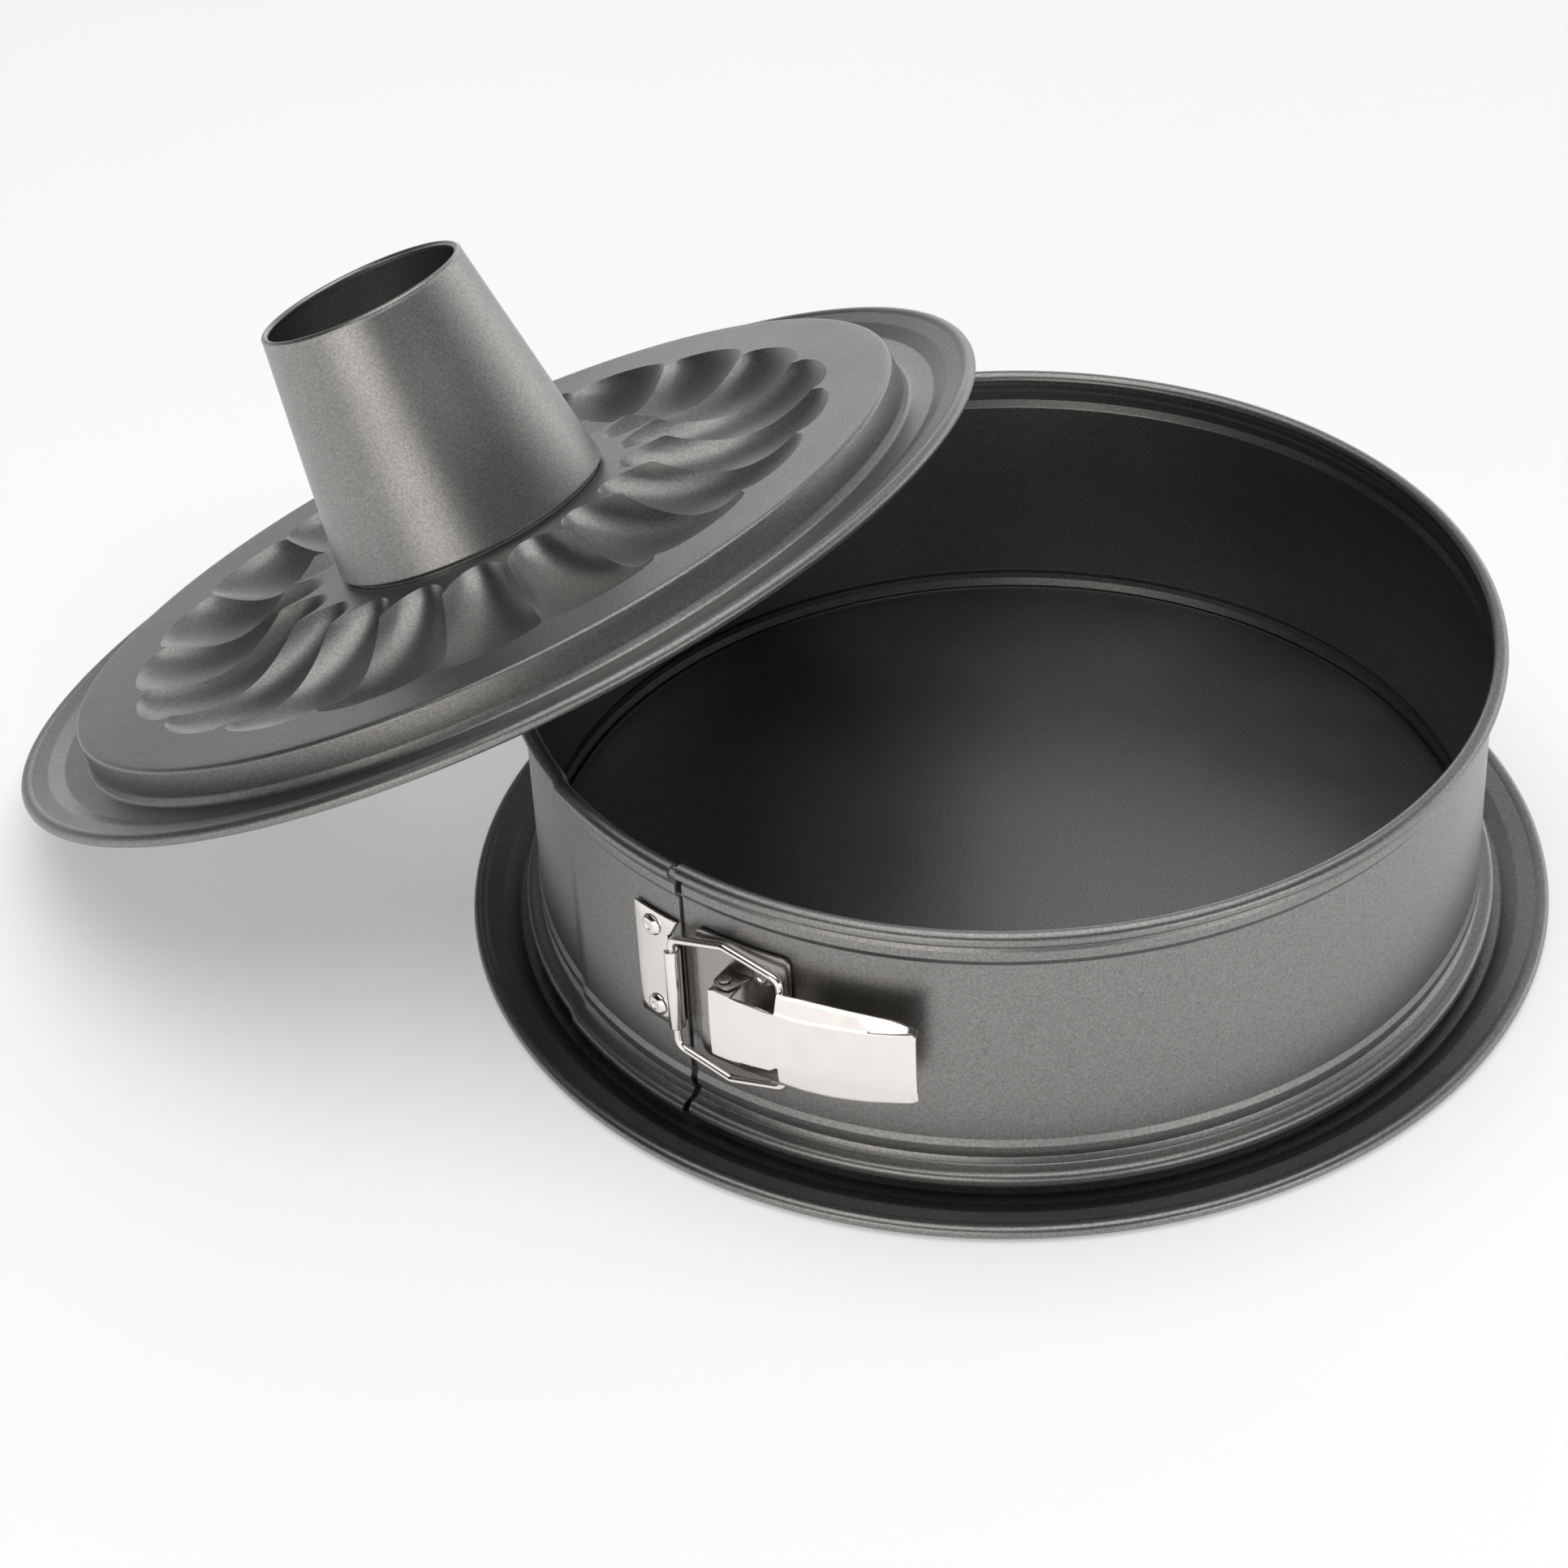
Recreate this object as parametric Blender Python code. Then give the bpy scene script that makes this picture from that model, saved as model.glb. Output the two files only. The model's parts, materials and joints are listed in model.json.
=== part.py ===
"""Springform cake pan: flat base, split ring with a lever latch, and a second base with a tube.

Metres, +Z up. The origin is the centre of the flat base's cake floor, on the axis of the ring.
Heights below are counted from the surface that the flat base stands on; settle() moves them down.
Azimuths are in degrees, from +X towards +Y. The latch faces -Y and a little -X.
"""

import math

import bmesh
import bpy
from mathutils import Matrix, Vector

MM = 0.001
SEGMENTS = 60  # round the flat base, and twice the steps of each half of the ring
STEP_DEG = 360 / SEGMENTS

# Sheet and clearances
SHEET = 0.6 * MM
GAP = 0.3 * MM

# Flat base and tube base, which share one tray outline
PLATEAU_RADIUS = 130.0 * MM
PLATEAU_HEIGHT = 11.6 * MM
RIM_RADIUS = 150.0 * MM
RIM_ROLL = 1.9 * MM
RIM_HEIGHT = 2.1 * MM

# Ring
WALL_OUTER = 131.9 * MM
WALL_INNER = 131.2 * MM
WALL_BOTTOM = 17.0 * MM
WALL_TOP = 75.4 * MM
TOP_ROLL_RADIUS = 133.3 * MM
TOP_ROLL_HEIGHT = 84.0 * MM
ROLL = 2.2 * MM
FOOT_ROLL_RADIUS = 134.5 * MM
FOOT_ROLL_HEIGHT = 6.2 * MM
SPLIT_AZIMUTH = 231.4
BACK_AZIMUTH = SPLIT_AZIMUTH - 180
SPLIT_GAP_DEG = 0.07
OVERLAP_DEG = 20.4
OVERLAP_LIFT = 1.0 * MM
TONGUE_SHORT_DEG = 1.0

# Latch. The strike and its hook sit a little off the lever's middle height.
LATCH_HEIGHT = 47.0 * MM
STRIKE_HEIGHT = 48.6 * MM
STRIKE_HALF = 18.2 * MM
STRIKE_SHEET = 0.8 * MM
STRIKE_START = 224.4
STRIKE_RIVET_AZIMUTH = 227.2
STRIKE_RIVET_SPREAD = 13.3 * MM
HOOK_HEIGHT = 46.2 * MM
HOOK_HALF = 12.8 * MM
BAR_RADIUS = 135.8 * MM
BAR_AZIMUTH = 230.8
WIRE = 1.15 * MM
BAIL_BEND = 3.2 * MM
KNEE_RADIUS = 135.3 * MM
KNEE_AZIMUTH = 238.0
ANCHOR_RADIUS = 136.9 * MM
ANCHOR_AZIMUTH = 245.3
PIVOT_RADIUS = 137.8 * MM
PIVOT_AZIMUTH = 238.7
LEVER_FACE = 141.5 * MM
LEVER_SHEET = 1.0 * MM
LEVER_START = 237.6
LEVER_END = 260.5
WINDOW_START = 240.2
WINDOW_END = 245.35
BRACKET_INNER = WALL_OUTER + GAP
BRACKET_SHEET = 1.0 * MM
BRACKET_HALF = 21.0 * MM
BRACKET_START = 233.4
BRACKET_END = 245.8
BRACKET_RIVET_AZIMUTH = 242.5
BRACKET_RIVET_SPREAD = 13.9 * MM
EAR_SPREAD = 11.5 * MM
PIN = 1.1 * MM
PIN_HOLE = 1.35 * MM
RIVET_SHANK = 1.6 * MM
RIVET_HOLE = 1.9 * MM

# Tube base
LOBES = 19
LOBE_STEPS = 4
WEB_RADIUS = 53.0 * MM
LOBE_RADIUS = 111.0 * MM
WEB_RISE = 4.5 * MM
RIDGE_SAG = 7.0 * MM
FLOOR_SAG = 9.2 * MM
LOBE_PHASE_DEG = 6.3
TUBE_HOLE = 40.9 * MM
LEAN_DEG = 25.05
LEAN_AZIMUTH = 151.1
LEAN_CENTRE = Vector((-147.4, 66.5, 63.7)) * MM  # where the tilted base's axis meets its resting plane


def material(name, colour, roughness, metallic=1.0):
    mat = bpy.data.materials.new(name)
    mat.use_nodes = True
    shader = mat.node_tree.nodes["Principled BSDF"]
    shader.inputs["Base Color"].default_value = (*colour, 1.0)
    shader.inputs["Roughness"].default_value = roughness
    shader.inputs["Metallic"].default_value = metallic
    return mat


def coated_steel(part):
    return material(f"{part}_coating", (0.17, 0.165, 0.16), 0.42, 0.75)


def nickel(part):
    return material(f"{part}_nickel", (0.78, 0.76, 0.73), 0.25)


def polar(radius, azimuth, height=0.0):
    angle = math.radians(azimuth)
    return Vector((radius * math.cos(angle), radius * math.sin(angle), height))


def mesh_object(name, bm, mat, smooth_deg=35):
    bmesh.ops.remove_doubles(bm, verts=bm.verts, dist=1e-7)
    bmesh.ops.recalc_face_normals(bm, faces=bm.faces)
    mesh = bpy.data.meshes.new(name)
    bm.to_mesh(mesh)
    bm.free()
    mesh.shade_smooth()
    mesh.set_sharp_from_angle(angle=math.radians(smooth_deg))
    obj = bpy.data.objects.new(name, mesh)
    obj.data.materials.append(mat)
    bpy.context.scene.collection.objects.link(obj)
    return obj


def set_origin(obj, point):
    """Moves the origin to a point on the joint's axis and leaves the shape where it is."""
    obj.data.transform(Matrix.Translation(-point))
    obj.location = point
    return obj


def arc(centre, radius, start_deg, end_deg, steps):
    """Points (r, z) along an arc."""
    turns = [math.radians(start_deg + (end_deg - start_deg) * k / steps) for k in range(steps + 1)]
    return [(centre[0] + radius * math.cos(t), centre[1] + radius * math.sin(t)) for t in turns]


def in_metres(points):
    return [(r * MM, z * MM) for r, z in points]


def loops_body(bm, loops, closed):
    """Joins equal loops of points into one body. An open run gets a face at both ends."""
    rows = [[bm.verts.new(point) for point in loop] for loop in loops]
    count = len(rows[0])
    pairs = list(zip(rows, rows[1:]))
    if closed:
        pairs.append((rows[-1], rows[0]))
    for a, b in pairs:
        for k in range(count):
            n = (k + 1) % count
            bm.faces.new((a[k], a[n], b[n], b[k]))
    if not closed:
        bm.faces.new(list(reversed(rows[0])))
        bm.faces.new(rows[-1])


def turned(bm, outline, segments, start_deg=0.0):
    """Turns a closed outline (r, z) that stays clear of the axis once round the Z axis."""
    loops = [
        [polar(r, start_deg + 360 * k / segments, z) for r, z in outline] for k in range(segments)
    ]
    loops_body(bm, loops, closed=True)


def difference(obj, cutter):
    cutter.hide_render = True
    cutter.display_type = "WIRE"
    mod = obj.modifiers.new("cut", "BOOLEAN")
    mod.operation = "DIFFERENCE"
    mod.solver = "EXACT"
    mod.object = cutter


def union(obj, other):
    other.hide_render = True
    other.display_type = "WIRE"
    mod = obj.modifiers.new("join", "BOOLEAN")
    mod.operation = "UNION"
    mod.solver = "EXACT"
    mod.object = other


def rod(name, start, end, radius, mat, sides=16):
    """A plain round rod between two points."""
    bm = bmesh.new()
    axis = end - start
    bmesh.ops.create_cone(
        bm, cap_ends=True, segments=sides, radius1=radius, radius2=radius, depth=axis.length
    )
    turn = axis.to_track_quat("Z", "Y").to_matrix().to_4x4()
    bmesh.ops.transform(bm, matrix=Matrix.Translation((start + end) / 2) @ turn, verts=bm.verts)
    return mesh_object(name, bm, mat)


def tray_rim():
    """Top side of a tray from the plateau's edge out to the rolled rim, and back along the underside."""
    edge = PLATEAU_RADIUS / MM
    top = PLATEAU_HEIGHT / MM
    down = [(edge - 1.0, top), (edge - 0.25, top - 0.25), (edge, top - 1.0)]
    gutter = [(edge + 0.4, 1.9), (edge + 1.6, 0.7), (138.6, 0.7), (143.6, 2.6)]
    roll = arc((RIM_RADIUS / MM, RIM_HEIGHT / MM), RIM_ROLL / MM, 90, -90, 4)
    under = [(148.3, 1.0), (148.2, 3.0), (143.8, 1.95), (138.8, 0.0), (edge + 1.2, 0.0)]
    wall = [(edge - 0.2, 1.5), (edge - 0.6, top - 1.2), (edge - 1.2, top - 0.6)]
    return in_metres(down + gutter + roll + under + wall)


def flat_base():
    """A stamped disc with a step down to a drip gutter and a rolled rim."""
    outline = tray_rim()
    bm = bmesh.new()
    rows = []
    for k in range(SEGMENTS):
        azimuth = BACK_AZIMUTH + STEP_DEG * k
        rows.append([bm.verts.new(polar(r, azimuth, z)) for r, z in outline])
    for a, b in zip(rows, rows[1:] + rows[:1]):
        for k in range(len(outline) - 1):
            bm.faces.new((a[k], a[k + 1], b[k + 1], b[k]))
    bm.faces.new([row[0] for row in rows])
    bm.faces.new([row[-1] for row in rows])
    return mesh_object("flat_base", bm, coated_steel("flat_base"))


def ring_outline(lift=0.0):
    """Cross-section of the ring's strip: foot roll, grip groove, wall, rib and top roll."""
    foot = arc((FOOT_ROLL_RADIUS / MM, FOOT_ROLL_HEIGHT / MM), ROLL / MM, -110, 90, 4)
    groove = [(131.9, 9.5), (131.3, 10.6), (132.4, 13.4), (132.4, 15.0)]
    wall = [(WALL_OUTER / MM, WALL_BOTTOM / MM), (WALL_OUTER / MM, WALL_TOP / MM)]
    rib = [(131.6, 77.2), (133.0, 78.6), (133.0, 80.2), (132.2, 81.6)]
    top = arc((TOP_ROLL_RADIUS / MM, TOP_ROLL_HEIGHT / MM), ROLL / MM, -40, 180, 5)
    back = [(132.3, 80.0), (132.3, 78.8), (130.9, 77.2)]
    inner = [(WALL_INNER / MM, WALL_TOP / MM), (WALL_INNER / MM, WALL_BOTTOM / MM)]
    grip = [(131.7, 15.0), (131.7, 13.6), (130.6, 10.6), (131.2, 8.8), (132.6, 6.2)]
    points = in_metres(foot + groove + wall + rib + top + back + inner + grip)
    return [(r + lift, z) for r, z in points]


def ring_band_left():
    """The half with the strike. Its end is stepped outwards to lie over the other half's tongue."""
    start = BACK_AZIMUTH + SPLIT_GAP_DEG
    end = SPLIT_AZIMUTH - SPLIT_GAP_DEG
    step_start = SPLIT_AZIMUTH - OVERLAP_DEG - 1.6
    azimuths = [start]
    azimuths += [BACK_AZIMUTH + STEP_DEG * k for k in range(1, SEGMENTS // 2)]
    azimuths += [end, step_start, step_start + 1.6]
    loops = []
    for azimuth in sorted(azimuths):
        lift = OVERLAP_LIFT * min(1.0, max(0.0, (azimuth - step_start) / 1.6))
        loops.append([polar(r, azimuth, z) for r, z in ring_outline(lift)])
    bm = bmesh.new()
    loops_body(bm, loops, closed=False)
    band = mesh_object("ring_band_left", bm, coated_steel("ring_band_left"))
    strike_rivet_holes(band)
    return band


def ring_band_right():
    """The half with the lever. A plain tongue of its wall goes on behind the left end."""
    start = SPLIT_AZIMUTH + SPLIT_GAP_DEG
    azimuths = [start]
    azimuths += [SPLIT_AZIMUTH + STEP_DEG * k for k in range(1, SEGMENTS // 2)]
    azimuths.append(SPLIT_AZIMUTH + 180 - SPLIT_GAP_DEG)
    bm = bmesh.new()
    outline = ring_outline()
    loops_body(bm, [[polar(r, a, z) for r, z in outline] for a in azimuths], closed=False)
    band = mesh_object("ring_band_right", bm, coated_steel("ring_band_right"))
    union(band, tongue(start))
    bracket_rivet_holes(band)
    return band


def tongue(start):
    low = WALL_BOTTOM + 0.6 * MM
    high = WALL_TOP - 0.6 * MM
    inset = 0.05 * MM  # keeps its faces off the wall's own where the two join
    square = [
        (WALL_INNER + inset, low), (WALL_OUTER - inset, low),
        (WALL_OUTER - inset, high), (WALL_INNER + inset, high),
    ]
    first = SPLIT_AZIMUTH - OVERLAP_DEG + TONGUE_SHORT_DEG
    azimuths = [first, *(SPLIT_AZIMUTH - STEP_DEG * k for k in (3, 2, 1)), start + 0.5]
    bm = bmesh.new()
    loops_body(bm, [[polar(r, a, z) for r, z in square] for a in azimuths], closed=False)
    return mesh_object("guide_tongue", bm, coated_steel("guide_tongue"))


def rivet_hole(part, azimuth, height):
    start = polar(WALL_INNER - 3 * MM, azimuth, height)
    end = polar(WALL_OUTER + 4 * MM, azimuth, height)
    return rod(f"guide_{part}_hole", start, end, RIVET_HOLE, nickel("guide"), sides=12)


def strike_rivet_holes(obj):
    for spread in (-STRIKE_RIVET_SPREAD, STRIKE_RIVET_SPREAD):
        difference(obj, rivet_hole("strike", STRIKE_RIVET_AZIMUTH, STRIKE_HEIGHT + spread))


def bracket_rivet_holes(obj):
    for spread in (-BRACKET_RIVET_SPREAD, BRACKET_RIVET_SPREAD):
        difference(obj, rivet_hole("bracket", BRACKET_RIVET_AZIMUTH, LATCH_HEIGHT + spread))


def rivet(name, azimuth, height, head_at, tail_at, tail_head):
    """A domed head outside, a shank through the sheets, and a flat tail inside where there is room."""
    head = [(0.0, 1.25), (1.5, 1.1), (2.8, 0.55), (3.2, 0.0)]
    outline = [(r * MM, head_at + x * MM) for r, x in head]
    outline.append((RIVET_SHANK, head_at))
    if tail_head:
        outline += [(RIVET_SHANK, tail_at), (2.6 * MM, tail_at), (2.4 * MM, tail_at - 0.7 * MM)]
        outline.append((0.0, tail_at - 0.7 * MM))
    else:
        outline += [(RIVET_SHANK, tail_at), (0.0, tail_at)]
    bm = bmesh.new()
    sides = 12
    rows = []
    for k in range(sides):
        turn = Matrix.Rotation(math.tau * k / sides, 3, "X")
        rows.append([bm.verts.new(turn @ Vector((x, 0.0, r))) for r, x in outline])
    for a, b in zip(rows, rows[1:] + rows[:1]):
        for k in range(len(outline) - 1):
            corners = (a[k], a[k + 1], b[k + 1], b[k])
            if outline[k][0] == 0.0:
                corners = (a[k], a[k + 1], b[k + 1])
            elif outline[k + 1][0] == 0.0:
                corners = (a[k], a[k + 1], b[k])
            bm.faces.new(corners)
    bmesh.ops.rotate(bm, matrix=Matrix.Rotation(math.radians(azimuth), 3, "Z"), verts=bm.verts)
    bmesh.ops.translate(bm, vec=(0, 0, height), verts=bm.verts)
    return mesh_object(name, bm, nickel(name))


def strip(bm, path, thickness, bottoms, tops):
    """A bent strip on edge: path is its middle line from above, with a height range at each point."""
    loops = []
    for k, point in enumerate(path):
        before = path[max(k - 1, 0)]
        after = path[min(k + 1, len(path) - 1)]
        along = (after - before).normalized()
        side = Vector((along.y, -along.x, 0.0)) * thickness / 2
        low = Vector((0, 0, bottoms[k]))
        high = Vector((0, 0, tops[k]))
        loops.append([point - side + low, point + side + low, point + side + high, point - side + high])
    loops_body(bm, loops, closed=False)


def strike_plate():
    """Riveted plate whose middle is curled into a J-shaped hook for the wire bail."""
    centre_line = WALL_OUTER + OVERLAP_LIFT + GAP + STRIKE_SHEET / 2
    bend = BAR_RADIUS - centre_line
    plate = [polar(centre_line, STRIKE_START + (BAR_AZIMUTH - STRIKE_START) * t / 4) for t in range(5)]
    bar = polar(BAR_RADIUS, BAR_AZIMUTH)
    inward = -polar(1.0, BAR_AZIMUTH)
    turns = [Matrix.Rotation(math.radians(30 * k), 3, "Z") for k in range(1, 6)]
    curl = [bar + bend * (turn @ inward) for turn in turns]
    lip = [polar(BAR_RADIUS + bend, BAR_AZIMUTH - back) for back in (0.0, 0.7, 1.4)]
    path = plate + curl + lip
    plain = len(plate) - 1
    curled = len(path) - plain
    bm = bmesh.new()
    tops = [STRIKE_HEIGHT + STRIKE_HALF] * plain + [HOOK_HEIGHT + HOOK_HALF] * curled
    bottoms = [STRIKE_HEIGHT - STRIKE_HALF] * plain + [HOOK_HEIGHT - HOOK_HALF] * curled
    strip(bm, path, STRIKE_SHEET, bottoms, tops)
    obj = mesh_object("strike_plate", bm, nickel("strike_plate"))
    strike_rivet_holes(obj)
    return obj


def lever_bracket():
    """Riveted base plate with two ears that carry the lever's pin."""
    bm = bmesh.new()
    steps = 4
    middle = BRACKET_INNER + BRACKET_SHEET / 2
    span = (BRACKET_END - BRACKET_START) / steps
    path = [polar(middle, BRACKET_START + span * k) for k in range(steps + 1)]
    bottom, top = LATCH_HEIGHT - BRACKET_HALF, LATCH_HEIGHT + BRACKET_HALF
    strip(bm, path, BRACKET_SHEET, [bottom] * len(path), [top] * len(path))
    obj = mesh_object("lever_bracket", bm, nickel("lever_bracket"))
    for sign in (-1, 1):
        union(obj, bracket_ear(sign))
    bracket_rivet_holes(obj)
    difference(obj, pin_hole("bracket"))
    return obj


def bracket_ear(sign):
    """A level ear, drawn from above in steps along the wall (u) and outwards (v) from the pin."""
    outline = [
        (-1.8, -5.1), (4.4, -5.1), (2.8, 0.2), (1.9, 1.5), (0.0, 2.3), (-1.4, 1.6), (-1.9, 0.0), (-1.8, -2.5),
    ]
    pivot = polar(PIVOT_RADIUS, PIVOT_AZIMUTH)
    along = polar(1.0, PIVOT_AZIMUTH + 90)
    out = polar(1.0, PIVOT_AZIMUTH)
    low = LATCH_HEIGHT + sign * EAR_SPREAD - BRACKET_SHEET / 2
    loops = [
        [pivot + along * u * MM + out * v * MM + Vector((0, 0, z)) for u, v in outline]
        for z in (low, low + BRACKET_SHEET)
    ]
    bm = bmesh.new()
    loops_body(bm, loops, closed=False)
    return mesh_object("guide_ear", bm, nickel("guide"))


def pin_hole(part):
    half = EAR_SPREAD + 2 * MM
    start = polar(PIVOT_RADIUS, PIVOT_AZIMUTH, LATCH_HEIGHT - half)
    end = polar(PIVOT_RADIUS, PIVOT_AZIMUTH, LATCH_HEIGHT + half)
    return rod(f"guide_{part}_pin_hole", start, end, PIN_HOLE, nickel("guide"))


def lever_section(half, rise, depth):
    """Half of the lever's section: its face's edge, and an ear (no rise) or a sloping wing behind it."""
    t = LEVER_SHEET
    if rise == 0.0:
        return [(0.0, half), (-depth, half), (-depth, half - t), (-t, half - t)]
    return [(0.0, half), (-depth, half + rise), (-depth - t, half + rise), (-t, half - 0.2 * MM)]


def latch_lever():
    """A pressed handle: two ears on the pin, a window for the bail's feet, then sloping wings."""
    middle = (WINDOW_START + WINDOW_END) / 2
    stations = [
        (LEVER_START, 10.7, 0.0, 4.7), (LEVER_START + 0.5, 10.7, 0.0, 5.9),
        (WINDOW_START - 0.3, 10.3, 0.0, 5.9), (WINDOW_START, 10.3, 0.0, 1.2),
        (middle, 9.5, 0.0, 1.2), (WINDOW_END, 8.8, 0.0, 1.2),
        (WINDOW_END + 0.12, 8.7, 6.2, 2.0), (251.0, 8.5, 6.1, 2.0), (255.0, 8.7, 4.9, 1.9),
        (258.5, 9.1, 3.9, 1.8), (LEVER_END - 0.9, 9.2, 2.4, 1.4), (LEVER_END, 9.3, 0.9, 0.9),
    ]
    loops = []
    for azimuth, *sizes in stations:
        upper = lever_section(*(size * MM for size in sizes))
        section = upper + [(depth, -height) for depth, height in reversed(upper)]
        loops.append([polar(LEVER_FACE + r, azimuth, LATCH_HEIGHT + z) for r, z in section])
    bm = bmesh.new()
    loops_body(bm, loops, closed=False)
    obj = mesh_object("latch_lever", bm, nickel("latch_lever"))
    set_origin(obj, polar(PIVOT_RADIUS, PIVOT_AZIMUTH, LATCH_HEIGHT))
    difference(obj, pin_hole("lever"))
    return obj


def lever_pin():
    """The lever's pivot, with a flat head over each flange."""
    head = 2.2 * MM
    under = EAR_SPREAD + BRACKET_SHEET / 2 + GAP
    top = under + 0.8 * MM
    outline = [(0, top), (head - 0.3 * MM, top), (head, top - 0.3 * MM), (head, under), (PIN, under)]
    outline += [(r, -z) for r, z in reversed(outline)]
    bm = bmesh.new()
    sides = 16
    rows = [[bm.verts.new(polar(r, 360 * k / sides, z)) for r, z in outline] for k in range(sides)]
    for a, b in zip(rows, rows[1:] + rows[:1]):
        for k in range(len(outline) - 1):
            corners = (a[k], a[k + 1], b[k + 1], b[k])
            if k == 0:
                corners = (a[0], a[1], b[1])
            elif k == len(outline) - 2:
                corners = (a[k], a[k + 1], b[k])
            bm.faces.new(corners)
    bmesh.ops.translate(bm, vec=polar(PIVOT_RADIUS, PIVOT_AZIMUTH, LATCH_HEIGHT), verts=bm.verts)
    return mesh_object("lever_pin", bm, nickel("lever_pin"))


def rounded_route(corners, radius, steps):
    """A route through corners, with each inner corner rounded off."""
    route = [corners[0]]
    for before, corner, after in zip(corners, corners[1:], corners[2:]):
        a = (before - corner).normalized()
        b = (after - corner).normalized()
        half = a.angle(b) / 2
        cut = min(radius / math.tan(half), 0.45 * (before - corner).length, 0.45 * (after - corner).length)
        start, end = corner + a * cut, corner + b * cut
        for k in range(steps + 1):
            t = k / steps
            route.append((1 - t) ** 2 * start + 2 * t * (1 - t) * corner + t ** 2 * end)
    route.append(corners[-1])
    return route


def bail_wire():
    """A bent wire: a cross bar in the hook, two arms, and two feet turned in behind the lever."""
    anchor = polar(ANCHOR_RADIUS, ANCHOR_AZIMUTH)
    knee = polar(KNEE_RADIUS, KNEE_AZIMUTH)
    bar = polar(BAR_RADIUS, BAR_AZIMUTH)
    upper = [(anchor, 7.5), (anchor, 17.2), (knee, 20.5), (bar, 15.6)]
    lower = [(bar, -19.8), (knee, -23.6), (anchor, -18.2), (anchor, -7.5)]
    corners = [place + Vector((0, 0, LATCH_HEIGHT + up * MM)) for place, up in upper + lower]
    centre = bar + Vector((0, 0, LATCH_HEIGHT))
    points = [point - centre for point in rounded_route(corners, BAIL_BEND, 3)]
    curve = bpy.data.curves.new("bail_wire", "CURVE")
    curve.dimensions = "3D"
    curve.bevel_depth = WIRE
    curve.bevel_resolution = 2
    curve.use_fill_caps = True
    spline = curve.splines.new("POLY")
    spline.points.add(len(points) - 1)
    for spot, point in zip(spline.points, points):
        spot.co = (*point, 1.0)
    obj = bpy.data.objects.new("bail_wire", curve)
    obj.location = centre
    obj.data.materials.append(nickel("bail_wire"))
    bpy.context.scene.collection.objects.link(obj)
    return obj


def lobe_height(radius, across):
    """Height of the fluted ring over the plateau. across runs from 0 to 1 over one lobe."""
    t = min(1.0, max(0.0, (radius - WEB_RADIUS) / (LOBE_RADIUS - WEB_RADIUS)))
    ramp = WEB_RISE * (1 - t)
    dip = math.sin(math.pi * t) ** 0.85
    scoop = math.sin(math.pi * across) ** 0.6
    return ramp - dip * (RIDGE_SAG + (FLOOR_SAG - RIDGE_SAG) * scoop)


def tube_base_plate():
    """The second base: the same tray, with a fluted ring and a raised hub that holds the tube."""
    count = LOBES * LOBE_STEPS
    rings = [TUBE_HOLE, WEB_RADIUS]
    rings += [WEB_RADIUS + (LOBE_RADIUS - WEB_RADIUS) * t for t in (0.12, 0.35, 0.6, 0.85, 1.0)]
    tray = tray_rim()
    bm = bmesh.new()
    rows = []
    for k in range(count):
        azimuth = LOBE_PHASE_DEG + 360 * k / count
        across = (k % LOBE_STEPS) / LOBE_STEPS
        top = [(r, PLATEAU_HEIGHT + lobe_height(r, across)) for r in rings]
        under = [(r, z - SHEET) for r, z in top]
        outline = top + tray + list(reversed(under))
        rows.append([bm.verts.new(polar(r, azimuth, z)) for r, z in outline])
    size = len(rows[0])
    for a, b in zip(rows, rows[1:] + rows[:1]):
        for k in range(size):
            n = (k + 1) % size
            bm.faces.new((a[k], a[n], b[n], b[k]))
    return mesh_object("tube_base_plate", bm, coated_steel("tube_base_plate"))


def tube_cone():
    """The tapered tube. Its collar goes through the plate's hole and is folded out underneath."""
    lip = [(28.9, 89.2), (29.3, 90.2), (30.4, 90.4), (31.2, 89.7), (31.5, 88.4)]
    foot = [(42.0, 18.9), (41.9, 17.9), (40.5, 17.3), (40.4, 15.2), (44.4, 15.2), (44.4, 14.5), (39.7, 14.5)]
    inner = [(39.7, 17.8), (41.1, 18.8), (30.8, 88.3), (30.2, 89.5), (29.6, 89.0)]
    bm = bmesh.new()
    turned(bm, in_metres(lip + foot + inner), 40)
    return mesh_object("tube_cone", bm, coated_steel("tube_cone"))


def lean(objects):
    """Tilts the tube base so that it rests on the table and leans on the ring's rim."""
    lean_empty = bpy.data.objects.new("tube_base_lean", None)
    bpy.context.scene.collection.objects.link(lean_empty)
    tilt_axis = polar(1.0, LEAN_AZIMUTH + 90)
    lean_empty.rotation_mode = "QUATERNION"
    lean_empty.rotation_quaternion = Matrix.Rotation(math.radians(LEAN_DEG), 3, tilt_axis).to_quaternion()
    lean_empty.location = LEAN_CENTRE
    for obj in objects:
        obj.parent = lean_empty


def settle():
    """Puts the origin on the cake floor by moving every shape down by the floor's height."""
    for obj in bpy.data.objects:
        if obj.parent is None:
            obj.location.z -= PLATEAU_HEIGHT


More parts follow.
